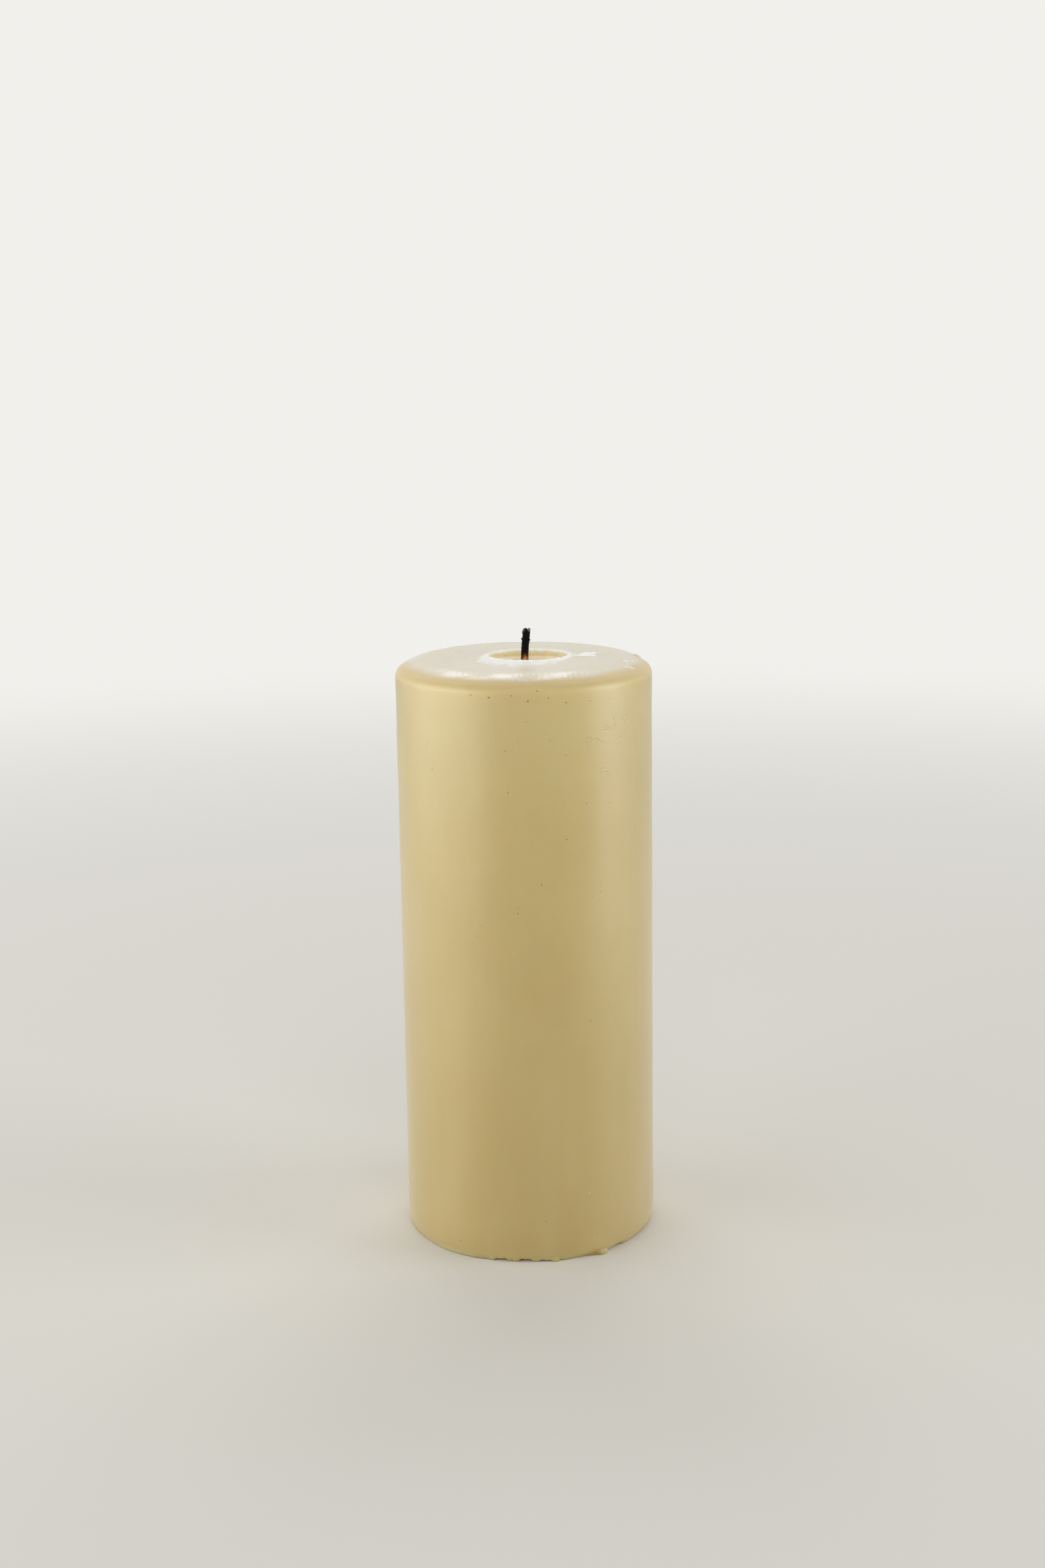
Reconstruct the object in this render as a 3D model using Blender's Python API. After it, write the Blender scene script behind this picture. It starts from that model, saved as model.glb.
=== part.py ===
"""Pillar candle: one cast body of wax on a braided cotton wick, lit once and blown out.

Metres, +Z up. The origin is the centre of the flat base, and the candle stands upright on it.
The side that shows the broken foot is the front, which faces -Y.
"""
import math

import bmesh
import bpy
from mathutils import Vector

MM = 0.001

# Body of wax
BODY_RADIUS = 30.0 * MM
BODY_HEIGHT = 138.8 * MM       # base to the middle of the top, before the lip of the crater
TOP_CROWN = 0.34 * MM          # how far the top falls from its middle to the start of the shoulder
SHOULDER_INSET = 7.4 * MM      # the rounded shoulder, measured across the top
SHOULDER_DROP = 3.6 * MM       # the rounded shoulder, measured down the side
CREASE_INSET = 0.35 * MM       # the soft crease where the shoulder turns into the wall
CREASE_DROP = 0.7 * MM
FOOT_INSET = 0.8 * MM          # the wall draws in at the foot by this much
FOOT_RISE = 7.0 * MM           # and starts to do so at this height
BODY_SIDES = 96

# Spread of softened wax at the foot, with a broken end
SPREAD_REACH = 1.35 * MM
SPREAD_RISE = 4.0 * MM
SPREAD_START = math.radians(20)    # angles run from the front towards +X
SPREAD_PEAK = math.radians(33)
SPREAD_BREAK = math.radians(40)

# Crater that the flame melted, which lies a little off the middle
CRATER_RADIUS = 9.3 * MM
CRATER_DEPTH = 2.0 * MM
CRATER_CENTRE = Vector((1.2 * MM, -0.4 * MM))
CRATER_BOWL = 2.6 * MM         # width of the curve between the crater's wall and its floor
LIP_WIDTH = 1.1 * MM
LIP_HEIGHT = 0.25 * MM
LIP_WAVE = 0.12 * MM           # how uneven the lip is

# Braided wick, and the bore that the wax keeps round it
WICK_RADIUS = 0.85 * MM
WICK_CLEARANCE = 0.3 * MM
WICK_PLACE = Vector((0.3 * MM, 0.0))
WICK_FOOT = 0.5 * MM           # the wick is trimmed this far above the base
WICK_ABOVE_TOP = 6.0 * MM      # charred end that stands above the top of the wax
WICK_LEAN = 0.45 * MM          # the charred end leans this far towards +X
CROWN_FLARE = 0.17 * MM        # the tip is three-lobed and this much wider in radius
CROWN_LENGTH = 1.4 * MM
CROWN_LOBES = 3
CROWN_LOBE_DEPTH = 0.12 * MM
WICK_SIDES = 18

BORE_RADIUS = WICK_RADIUS + WICK_CLEARANCE
CROWN_RADIUS = WICK_RADIUS + CROWN_FLARE
TOP_EDGE_RADIUS = BODY_RADIUS - SHOULDER_INSET
POOL_HEIGHT = BODY_HEIGHT - CRATER_DEPTH
MIDDLE = Vector((0.0, 0.0))
ANGLES = [math.remainder(2 * math.pi * side / BODY_SIDES, 2 * math.pi) for side in range(BODY_SIDES)]


def clear_scene():
    for obj in list(bpy.data.objects):
        bpy.data.objects.remove(obj, do_unlink=True)


def smoothstep(value):
    value = min(max(value, 0.0), 1.0)
    return value * value * (3.0 - 2.0 * value)


def spread_at(angle, height):
    """How far the spread foot stands out from the wall, at an angle from the front."""
    rise = smoothstep((angle - SPREAD_START) / (SPREAD_PEAK - SPREAD_START))
    fall = 1.0 - smoothstep((angle - SPREAD_PEAK) / (SPREAD_BREAK - SPREAD_PEAK))
    fade = smoothstep(1.0 - height / SPREAD_RISE)
    return SPREAD_REACH * rise * fall * fade


def lip_wave_at(angle):
    """Slow unevenness of the crater's edge, from three waves round the circle."""
    waves = 0.5 * math.sin(3 * angle + 0.6) + 0.3 * math.sin(5 * angle) + 0.2 * math.sin(9 * angle)
    return LIP_WAVE * waves


def foot_profile(steps=8):
    """Radius and height from the edge of the base up to the straight wall: a quarter of an ellipse."""
    rows = []
    for step in range(steps + 1):
        turn = math.pi / 2 * (1 - step / steps)
        radius = BODY_RADIUS - FOOT_INSET * (1 - math.cos(turn))
        rows.append((radius, FOOT_RISE * (1 - math.sin(turn))))
    return rows


def shoulder_profile(steps=8):
    """Radius and height from the top of the wall, over the crease, to the edge of the top."""
    edge_height = BODY_HEIGHT - TOP_CROWN
    crease_radius = BODY_RADIUS - CREASE_INSET
    crease_height = edge_height - SHOULDER_DROP
    rows = [(BODY_RADIUS, crease_height - CREASE_DROP)]
    for step in range(steps + 1):
        turn = math.pi / 2 * step / steps
        radius = TOP_EDGE_RADIUS + (crease_radius - TOP_EDGE_RADIUS) * math.cos(turn)
        rows.append((radius, crease_height + SHOULDER_DROP * math.sin(turn)))
    return rows


def top_profile(steps=4):
    """Radius, height and centre across the slightly crowned top, up to the foot of the crater's lip."""
    inner = CRATER_RADIUS + LIP_WIDTH
    rows = []
    for step in range(1, steps + 1):
        share = step / steps
        radius = TOP_EDGE_RADIUS + (inner - TOP_EDGE_RADIUS) * share
        height = BODY_HEIGHT - TOP_CROWN * (radius / TOP_EDGE_RADIUS) ** 2
        rows.append((radius, height, CRATER_CENTRE * share))
    return rows


def crater_profile(steps=4):
    """Radius and height from the lip down into the bowl. The last row is the edge of the flat floor."""
    rows = [(CRATER_RADIUS + LIP_WIDTH * 0.4, BODY_HEIGHT + LIP_HEIGHT * 0.7),
            (CRATER_RADIUS, BODY_HEIGHT + LIP_HEIGHT)]
    for step in range(1, steps + 1):
        turn = math.pi / 2 * step / steps
        radius = CRATER_RADIUS - CRATER_BOWL * (1 - math.cos(turn))
        rows.append((radius, BODY_HEIGHT - CRATER_DEPTH * math.sin(turn)))
    return rows


def place_at(centre, angle, radius, height):
    """A point at an angle from the front, round a centre."""
    return (centre.x + radius * math.sin(angle), centre.y - radius * math.cos(angle), height)


def ring(bm, centre, radii, height):
    """One level ring of vertices, with a radius for each angle from the front."""
    return [bm.verts.new(place_at(centre, angle, radius, height)) for angle, radius in zip(ANGLES, radii)]


def wax_rings(bm):
    """Every ring of the body, from the edge of the base, up and over, to the floor of the crater."""
    rings = []
    for radius, height in foot_profile() + shoulder_profile():
        rings.append(ring(bm, MIDDLE, [radius + spread_at(angle, height) for angle in ANGLES], height))
    for radius, height, centre in top_profile():
        rings.append(ring(bm, centre, [radius] * BODY_SIDES, height))
    for radius, height in crater_profile():
        wave = max(0.0, 1.0 - (BODY_HEIGHT + LIP_HEIGHT - height) / CRATER_DEPTH)
        radii = [radius + wave * lip_wave_at(angle) for angle in ANGLES]
        rings.append(ring(bm, CRATER_CENTRE, radii, height))
    return rings


def close_with_fan(bm, verts, centre, height):
    """Close the last ring of a surface with triangles to one middle vertex."""
    hub = bm.verts.new((centre.x, centre.y, height))
    for first, second in zip(verts, verts[1:] + verts[:1]):
        bm.faces.new((first, second, hub))


def skin(bm, rings):
    """Join each ring to the next one with quads that face outwards."""
    for lower, upper in zip(rings, rings[1:]):
        count = len(lower)
        for side in range(count):
            after = (side + 1) % count
            bm.faces.new((lower[side], lower[after], upper[after], upper[side]))


def make_object(name, bm, smooth_angle=40):
    bmesh.ops.recalc_face_normals(bm, faces=bm.faces)
    mesh = bpy.data.meshes.new(name)
    bm.to_mesh(mesh)
    bm.free()
    obj = bpy.data.objects.new(name, mesh)
    bpy.context.scene.collection.objects.link(obj)
    mesh.shade_smooth()
    mesh.set_sharp_from_angle(angle=math.radians(smooth_angle))
    return obj


def give_material(obj, name, colour, roughness):
    material = bpy.data.materials.new(name)
    material.use_nodes = True
    shader = material.node_tree.nodes["Principled BSDF"]
    shader.inputs["Base Color"].default_value = (*colour, 1.0)
    shader.inputs["Roughness"].default_value = roughness
    shader.inputs["Metallic"].default_value = 0.0
    obj.data.materials.append(material)


def make_bore_cutter():
    """Straight round rod, longer than the body, that cuts the bore for the wick."""
    overrun = 5 * MM
    bm = bmesh.new()
    bmesh.ops.create_cone(bm, cap_ends=True, segments=WICK_SIDES, radius1=BORE_RADIUS, radius2=BORE_RADIUS,
                          depth=BODY_HEIGHT + 2 * overrun)
    bmesh.ops.translate(bm, verts=bm.verts, vec=(WICK_PLACE.x, WICK_PLACE.y, BODY_HEIGHT / 2))
    cutter = make_object("bore_cutter", bm)
    cutter.hide_render = True
    cutter.display_type = 'WIRE'
    return cutter


def make_wax_body():
    bm = bmesh.new()
    rings = wax_rings(bm)
    skin(bm, rings)
    close_with_fan(bm, rings[0], MIDDLE, 0.0)
    close_with_fan(bm, rings[-1], CRATER_CENTRE, POOL_HEIGHT)
    body = make_object("wax_body", bm)
    cut = body.modifiers.new("wick_bore", 'BOOLEAN')
    cut.operation = 'DIFFERENCE'
    cut.solver = 'EXACT'
    cut.object = make_bore_cutter()
    give_material(body, "cast_paraffin_wax", (0.62, 0.50, 0.27), 0.45)
    return body


def shaft_rows(crown_start, steps=6):
    """Height, radius, lean and lobe depth from the wick's trimmed foot to the start of its crown."""
    rows = [(WICK_FOOT, WICK_RADIUS, 0.0, 0.0), (POOL_HEIGHT, WICK_RADIUS, 0.0, 0.0)]
    for step in range(1, steps + 1):
        share = step / steps
        height = POOL_HEIGHT + (crown_start - POOL_HEIGHT) * share
        rows.append((height, WICK_RADIUS, WICK_LEAN * share ** 2, 0.0))
    return rows


def crown_rows(crown_start):
    """The same for the crown: it flares, grows lobes and rounds over at the tip."""
    shape = ((0.35, 1.0, 0.6), (0.75, 1.0, 1.0), (0.95, 0.8, 1.0), (1.0, 0.45, 0.6))
    rows = []
    for share, width, lobes in shape:
        height = crown_start + CROWN_LENGTH * share
        rows.append((height, CROWN_RADIUS * width, WICK_LEAN * (1 + 0.2 * share), CROWN_LOBE_DEPTH * lobes))
    return rows


def make_wick():
    bm = bmesh.new()
    crown_start = BODY_HEIGHT + WICK_ABOVE_TOP - CROWN_LENGTH
    rings = []
    for height, radius, lean, lobe in shaft_rows(crown_start) + crown_rows(crown_start):
        centre = WICK_PLACE + Vector((lean, 0.0))
        turns = [2 * math.pi * side / WICK_SIDES for side in range(WICK_SIDES)]
        reach = [radius + lobe * math.cos(CROWN_LOBES * turn) for turn in turns]
        rings.append([bm.verts.new(place_at(centre, turn, far, height)) for turn, far in zip(turns, reach)])
    skin(bm, rings)
    bm.faces.new(rings[0])
    bm.faces.new(rings[-1])
    wick = make_object("wick", bm)
    give_material(wick, "charred_braided_cotton", (0.01, 0.008, 0.007), 0.9)
    return wick


def build():
    clear_scene()
    make_wax_body()
    make_wick()


build()
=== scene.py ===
"""Looks of a pillar candle that was lit once and blown out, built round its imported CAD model.

Metres, +Z up. The origin is the centre of the base, and the front, with the broken foot, faces -Y.
Angles on the candle run from the front, positive towards +X.
"""
import math
from functools import partial

import bmesh
import bpy
import numpy as np
from mathutils import Matrix, Vector
from mathutils.bvhtree import BVHTree


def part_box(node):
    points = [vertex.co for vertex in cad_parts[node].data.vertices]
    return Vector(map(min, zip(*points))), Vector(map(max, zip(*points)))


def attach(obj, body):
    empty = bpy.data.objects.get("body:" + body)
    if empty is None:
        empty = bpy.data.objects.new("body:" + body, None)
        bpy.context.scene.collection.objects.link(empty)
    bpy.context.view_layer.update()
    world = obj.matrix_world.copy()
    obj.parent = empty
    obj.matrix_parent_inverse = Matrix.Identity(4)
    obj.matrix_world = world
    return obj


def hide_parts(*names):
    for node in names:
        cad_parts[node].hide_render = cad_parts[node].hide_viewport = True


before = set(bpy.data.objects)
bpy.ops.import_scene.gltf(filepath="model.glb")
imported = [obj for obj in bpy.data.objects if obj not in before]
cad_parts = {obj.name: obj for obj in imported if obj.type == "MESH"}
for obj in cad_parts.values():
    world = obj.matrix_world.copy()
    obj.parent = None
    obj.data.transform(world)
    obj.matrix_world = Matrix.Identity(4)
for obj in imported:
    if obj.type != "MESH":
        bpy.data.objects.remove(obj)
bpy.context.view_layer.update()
MM = 0.001


# Studio: a round pale floor that fades into a pale surround, a tall softbox at each side of the candle,
# one above and behind it and a weak one over the camera. The camera stands where the photograph was
# taken from, a little off level, because the candle leans that much in the picture.

def linear(hex_colour):
    """An sRGB hex colour as linear red, green, blue and alpha."""
    parts = [int(hex_colour[place:place + 2], 16) / 255 for place in (1, 3, 5)]
    return (*[part / 12.92 if part <= 0.04045 else ((part + 0.055) / 1.055) ** 2.4 for part in parts], 1.0)


def feed(node, inputs):
    """Gives each named input of a node its value, or a link from another node's output."""
    for name, value in inputs.items():
        live = [socket for socket in node.inputs if socket.enabled and socket.name == name]
        socket = live[0] if live else node.inputs[name]
        if isinstance(value, bpy.types.NodeSocket):
            node.id_data.links.new(value, socket)
        else:
            socket.default_value = value


def add_node(tree, kind, inputs=None, out=None, **settings):
    """Adds a node with its settings and inputs, and gives back its first output, or the one named."""
    made = tree.nodes.new(kind)
    for name, value in settings.items():
        setattr(made, name, value)
    feed(made, inputs or {})
    live = [socket for socket in made.outputs if socket.enabled and out in (None, socket.name)]
    return live[0] if live else made


def new_material(name):
    """A material, the way to add nodes to it, its shader and the Object coordinates."""
    material = bpy.data.materials.new(name)
    material.use_nodes = True
    add = partial(add_node, material.node_tree)
    shader = material.node_tree.nodes["Principled BSDF"]
    return material, add, shader, add('ShaderNodeTexCoord', out="Object")


def new_object(name, data):
    made = bpy.data.objects.new(name, data)
    bpy.context.scene.collection.objects.link(made)
    return made


def place_softbox(name, place, aim, size, power):
    light = bpy.data.lights.new(name, 'AREA')
    light.shape = 'RECTANGLE'
    light.size, light.size_y = size
    light.energy = power
    box = new_object(name, light)
    box.location = place
    box.rotation_euler = (Vector(aim) - Vector(place)).to_track_quat('-Z', 'Y').to_euler()


scene = bpy.context.scene
scene.view_settings.view_transform = 'Standard'

# The photograph's own view: a 51 mm lens half a metre off, looking 12 degrees down.
lens = bpy.data.cameras.new("camera")
lens.lens = 50.8
lens.sensor_width = 36.0
lens.clip_start = 0.01
camera = new_object("camera", lens)
turn = Matrix.Rotation(math.radians(0.174), 4, 'Z')
tilt = Matrix.Rotation(math.radians(90 - 11.842), 4, 'X')
roll = Matrix.Rotation(math.radians(-0.847), 4, 'Z')
camera.matrix_world = Matrix.Translation(Vector((0.92, -511.75, 215.19)) * MM) @ turn @ tilt @ roll
scene.camera = camera

# The pale surround is seen in full by the camera and in gloss, and is a softer fill on the candle.
surround_colour = linear("#F1F0EC")
surround_fill = 0.4
world = bpy.data.worlds.new("pale_surround")
scene.world = world
world.use_nodes = True
add = partial(add_node, world.node_tree)
seen_by = 0.0
for ray in ("Is Camera Ray", "Is Glossy Ray", "Is Transmission Ray"):
    path = add('ShaderNodeLightPath', out=ray)
    seen_by = add('ShaderNodeMath', {0: path, 1: seen_by}, operation='MAXIMUM')
strength = add('ShaderNodeMapRange', {"Value": seen_by, "To Min": surround_fill, "To Max": 1.0})
feed(world.node_tree.nodes["Background"], {"Color": surround_colour, "Strength": strength})

# Matt paper floor. Away from the candle the camera sees it fade into the surround.
floor_radius = 3.0
floor_sides = 96
turns = [2 * math.pi * side / floor_sides for side in range(floor_sides)]
corners = [(floor_radius * math.cos(turn), floor_radius * math.sin(turn), 0.0) for turn in turns]
floor_mesh = bpy.data.meshes.new("floor")
floor_mesh.from_pydata(corners, [], [list(range(floor_sides))])
paper, add, shader, place = new_material("matt_paper_floor")
feed(shader, {"Base Color": linear("#E6E4DE"), "Roughness": 0.9, "Specular IOR Level": 0.1})
far = add('ShaderNodeVectorMath', {0: place}, operation='LENGTH')
fade = add('ShaderNodeMapRange', {"Value": far, "From Min": 0.2, "From Max": 0.9},
           interpolation_type='SMOOTHSTEP')
camera_ray = add('ShaderNodeLightPath', out="Is Camera Ray")
share = add('ShaderNodeMath', {0: fade, 1: camera_ray}, operation='MULTIPLY')
glow = add('ShaderNodeEmission', {"Color": surround_colour, "Strength": 1.0})
mixed = add('ShaderNodeMixShader', {0: share, 1: shader.outputs[0], 2: glow})
feed(paper.node_tree.nodes["Material Output"], {"Surface": mixed})
floor_mesh.materials.append(paper)
new_object("floor", floor_mesh)

place_softbox("softbox_left", (-0.72, -0.2, 0.16), (0, 0, 0.07), (1.15, 0.7), 4.8)
place_softbox("softbox_right", (0.735, -0.14, 0.18), (0, 0, 0.07), (0.42, 0.7), 2.6)
place_softbox("softbox_behind", (0.0, 0.5, 0.7), (0, 0, 0.13), (0.7, 0.35), 2.0)
place_softbox("softbox_front", (0.1, -0.8, 0.95), (0, 0, 0.1), (0.6, 0.6), 1.8)


# Wax body: one casting of ivory paraffin, turned out of a smooth mould with a rounded shoulder. The
# flame has melted a small crater with a ragged white lip and thrown a splash of wax beside it. The
# foot has softened, spread at the front right and broken off there, and the wall is scuffed.

wax_low, wax_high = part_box("wax_body")
body_radius = (wax_high.x - wax_low.x) / 2
top_height = wax_high.z - 0.25 * MM     # the lip of the crater stands this much above the top
crown_of_top = 0.34 * MM
shoulder_inset = 7.4 * MM
shoulder_drop = 2.46 * MM
crease_inset = 0.63 * MM
crease_drop = 1.95 * MM
foot_inset = 0.8 * MM
foot_rise = 7.0 * MM
spread_rise = 6.0 * MM
wear = 0.05 * MM                        # how much the wall and the foot's edge have worn, on average
crater_radius = 9.3 * MM
crater_depth = 2.0 * MM
crater_centre = Vector((1.2 * MM, -0.4 * MM))
bowl_width = 2.6 * MM
lip_width = 1.1 * MM
lip_height = 0.18 * MM
wick_place = Vector((0.3 * MM, 0.0))
bore_radius = 0.8 * MM                  # the wax has set round the wick
edge_radius = body_radius - shoulder_inset
edge_height = top_height - crown_of_top
pool_height = top_height - crater_depth
crease_height = edge_height - shoulder_drop
wall_top = crease_height - crease_drop

# Columns round the wax, each a whole share of the next finer one, and the part of the wall with the
# scuffs, which is cut finer: angles in degrees and heights.
FINEST, FINE, MEDIUM, COARSE, BORE = 1152, 576, 288, 144, 36
scuffed_angles = (22.4, 55.1)
scuffed_heights = (111.9 * MM, 130.1 * MM)
scuffed_rows = 14
scuffed_cuts = 8


def smoothstep(value):
    value = np.clip(value, 0.0, 1.0)
    return value * value * (3.0 - 2.0 * value)


def near(value, middle, reach):
    """1 where the value is the middle, falling to 0 within the reach."""
    return smoothstep(1 - np.abs(value - middle) / reach)


def near_angle(angle, degrees, width):
    """1 at an angle, falling to 0 over a width, both in degrees."""
    return near((np.degrees(angle) - degrees + 180) % 360, 180, width)


def waves(places, size, seed, count=28):
    """A smooth uneven pattern of bumps of one size, about -1 to 1, at each of the places."""
    rng = np.random.default_rng(seed)
    aims = rng.normal(size=(count, places.shape[1]))
    aims *= math.pi / (size * rng.uniform(0.7, 1.5, (count, 1)) * np.linalg.norm(aims, axis=1, keepdims=True))
    return np.cos(places @ aims.T + rng.uniform(0, 2 * math.pi, count)).sum(axis=1) / math.sqrt(2 * count)


def angles_of(columns):
    """Angles from the front, from -pi to pi, one for each column."""
    turns = 2 * math.pi * np.arange(columns) / columns
    return (turns + math.pi) % (2 * math.pi) - math.pi


def round_at(angle, radius):
    """Places on a circle, as rows of x and y."""
    return np.stack([radius * np.sin(angle), -radius * np.cos(angle)], axis=1)


# The foot's lower edge, which softened, spread and broke: the angle in degrees, how far the edge stands
# out beyond the plain foot and how far it is off the floor, both in millimetres.
foot_edge = np.array((
    (-140, 0, 0), (-90, 0.3, 0), (-78, 0, 0), (-60, -0.2, 0), (-48, 0.2, 0), (-43, 0.45, 0),
    (-26, 0.3, 0), (-21, -0.1, 0.1), (-18, 0.15, 0), (-16.5, 0, 0.45), (-12.5, 0, 0.65),
    (-9.8, -0.1, 0.1), (-9, -0.2, 0.2), (-8, -0.1, 0), (-6.3, -0.1, 0.1), (-4.8, 0, 0.7),
    (-0.5, 0, 0.6), (1.2, 0, 0.05), (2.8, 0, 0), (4.2, 0, 0.4), (8.5, 0.2, 0.3), (10.2, 0.55, 0),
    (11.8, 0.6, 0), (13, 0.1, 0.05), (17, 0.2, 0), (20, -0.1, 0), (25, -0.2, 0), (30, 0.6, 0),
    (33, 1.35, 0), (35.8, 1.05, 0), (37, 0.2, 0.1), (41, -0.3, 0.2), (44, -0.5, 0.35),
    (47.3, -0.4, 0.3), (48.6, -0.3, 0.1), (51, -0.2, 0), (56, -0.4, 0.05), (66, -0.45, 0),
    (78, -0.5, 0), (90, 0.1, 0), (140, 0, 0)))


def spread_at(angle, height):
    """Softened foot that stands out at the front right: sharp at its edge, a soft swelling above it."""
    reach = np.interp(np.degrees(angle), foot_edge[:, 0], foot_edge[:, 1]) * MM
    sharp = smoothstep(1 - height / (1.4 * MM))
    swelling = 0.6 * MM * near_angle(angle, 29, 16) * smoothstep(1 - height / spread_rise)
    return reach * sharp + swelling * (1 - sharp)


def foot_lift(angle):
    """Height of the foot's lower edge, which is broken off the floor between teeth along the front."""
    degrees = np.degrees(angle)
    lift = np.interp(degrees, foot_edge[:, 0], foot_edge[:, 2]) * MM
    front = smoothstep((degrees + 75) / 20) * smoothstep((80 - degrees) / 20)
    return lift + front * (wear * (1 + waves(round_at(angle, body_radius), 0.6 * MM, 31)))


def lip_shape(angle):
    """Inner edge, width and height of the crust round the crater: broad and ragged at the front."""
    places = round_at(angle, crater_radius)
    front = 0.5 + 0.5 * np.cos(angle)
    notch = near_angle(angle, -75, 5) + 0.6 * near_angle(angle, 86, 4) + 0.7 * near_angle(angle, 97, 4)
    edge = 0.12 * MM * waves(places, 1.1 * MM, 21) + 0.05 * MM * waves(places, 0.35 * MM, 22) \
        + 0.4 * MM * notch
    chunks = 1 + (0.15 + 0.17 * front) * (waves(places, 1.3 * MM, 23) + waves(places, 0.4 * MM, 24))
    height = lip_height * (0.75 + 0.25 * front) * np.clip(chunks, 0.4, 1.9) \
        * (1 - 0.85 * np.clip(notch, 0, 1))
    width = lip_width * (0.36 + 0.65 * front + (0.05 + 0.2 * front) * waves(places, 1.2 * MM, 25))
    return edge, width, height


wax_points, wax_faces, rings = [], [], []


def join(lower, upper):
    """Four-sided faces between two rings, or wider ones where one has several times as many columns."""
    few = min(len(lower), len(upper))
    low_step, high_step = len(lower) // few, len(upper) // few
    for side in range(few):
        low_run = [lower[(side * low_step + place) % len(lower)] for place in range(low_step + 1)]
        high_run = [upper[(side * high_step + place) % len(upper)] for place in range(high_step + 1)]
        wax_faces.append(low_run + high_run[::-1])


def lay(columns, radius, height, centre=(0, 0)):
    """A level ring of points, joined to the ring that was laid before it."""
    ring = list(range(len(wax_points), len(wax_points) + columns))
    places = round_at(angles_of(columns), radius) + np.array(centre)
    wax_points.extend(np.column_stack([places, height + np.zeros(columns)]).tolist())
    if rings:
        join(rings[-1], ring)
    rings.append(ring)


# The flat underside, its broken front edge, and the foot, a quarter of an ellipse.
lay(BORE, bore_radius, 0.0, wick_place)
base_radius = body_radius - foot_inset
for share, columns in ((0.3, COARSE), (0.7, COARSE), (0.88, MEDIUM), (0.94, FINE)):
    lay(columns, base_radius * share, 0.0)
angle = angles_of(FINEST)
for share in (0.96, 0.975, 0.99):
    reach = smoothstep((share - 0.94) / 0.06)
    lay(FINEST, base_radius * share + spread_at(angle, 0.0) * reach, foot_lift(angle) * reach)
foot_steps = 26
for step in range(foot_steps + 1):
    height = foot_rise * (step / foot_steps) ** 2.3
    turn = math.asin(1 - height / foot_rise)
    columns = FINEST if height < 1.2 * MM else FINE if height < 5 * MM else MEDIUM
    angle = angles_of(columns)
    low = smoothstep(1 - height / (2.2 * MM))
    worn = wear * low * (1 + waves(round_at(angle, body_radius), 0.8 * MM, 32)) * near_angle(angle, 5, 80)
    radius = body_radius - foot_inset * (1 - math.cos(turn)) + spread_at(angle, height) - worn
    lay(columns, radius, height + foot_lift(angle) * low)

# The straight wall, a little uneven, the soft crease above it and the shoulder, a flat dome.
low, high = scuffed_heights
heights = [*np.linspace(foot_rise, low, 34)[1:-1], *np.linspace(low, high, scuffed_rows + 1),
           *np.linspace(high, wall_top, 4)[1:]]
angle = angles_of(COARSE)
for height in heights:
    places = np.column_stack([round_at(angle, body_radius), np.full(COARSE, height)])
    ends = smoothstep((height - foot_rise) / foot_rise) * smoothstep((wall_top - height) / (8 * MM))
    lay(COARSE, body_radius - wear * ends * (1 + waves(places, 12 * MM, 33)), height)
for share in np.linspace(0, 1, 9)[1:]:
    lay(MEDIUM, body_radius - crease_inset * share ** 2.2, wall_top + crease_drop * share)
for share in np.linspace(1, 0, 25)[1:]:
    radius = edge_radius + (body_radius - crease_inset - edge_radius) * share
    lay(FINE, radius, edge_height - shoulder_drop * share ** 2)

# The crowned top, whose rings drift to the crater's centre, then the lip, the bowl and the pool.
lip_outside = crater_radius + 1.5 * lip_width
for share in np.linspace(0, 1, 30)[1:]:
    radius = edge_radius + (lip_outside - edge_radius) * share
    level = top_height - crown_of_top * (radius / edge_radius) ** 2
    lay(FINE, radius, level, crater_centre * share)
level = top_height - crown_of_top * (lip_outside / edge_radius) ** 2
angle = angles_of(FINE)
edge, width, height = lip_shape(angle)
places = round_at(angle, crater_radius)
for number, share in enumerate(np.linspace(0, 1, 12)):
    lumps = 0.3 * math.sin(math.pi * share) * waves(places, 0.28 * MM, 40 + number // 2)
    radius = crater_radius + edge * share + width * (1 - share) + 0.1 * MM * (1 - share)
    lay(FINE, radius, level + height * (smoothstep(share * 1.15) + lumps), crater_centre)
for turn in math.pi / 2 * np.linspace(0, 1, 19)[1:] ** 1.4:
    near_lip = math.cos(turn) ** 40
    radius = crater_radius + edge * near_lip - bowl_width * (1 - math.cos(turn)) \
        - 0.3 * MM * math.sin(turn) ** 0.6
    rise = (level + height * near_lip) * (1 - math.sin(turn)) + pool_height * math.sin(turn)
    thin = 1 if turn < 0.8 else 2
    lay(FINE // thin, radius[::thin], rise[::thin], crater_centre)
for share in np.linspace(0, 1, 15)[1:]:
    radius = (crater_radius - bowl_width) * (1 - share) + bore_radius * share
    climb = 0.55 * MM * smoothstep((share - 0.72) / 0.28) ** 2
    rise = pool_height - 0.1 * MM * math.sin(math.pi * share) + climb
    lay(COARSE if share < 0.85 else BORE, radius, rise, crater_centre * (1 - share) + wick_place * share)

# Back down the bore.
for height in (wax_high.z * 0.66, wax_high.z * 0.33):
    lay(BORE, bore_radius, height, wick_place)
join(rings[-1], rings[0])
wax_mesh = bpy.data.meshes.new("wax_pillar")
wax_mesh.from_pydata(wax_points, [], wax_faces)

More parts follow.
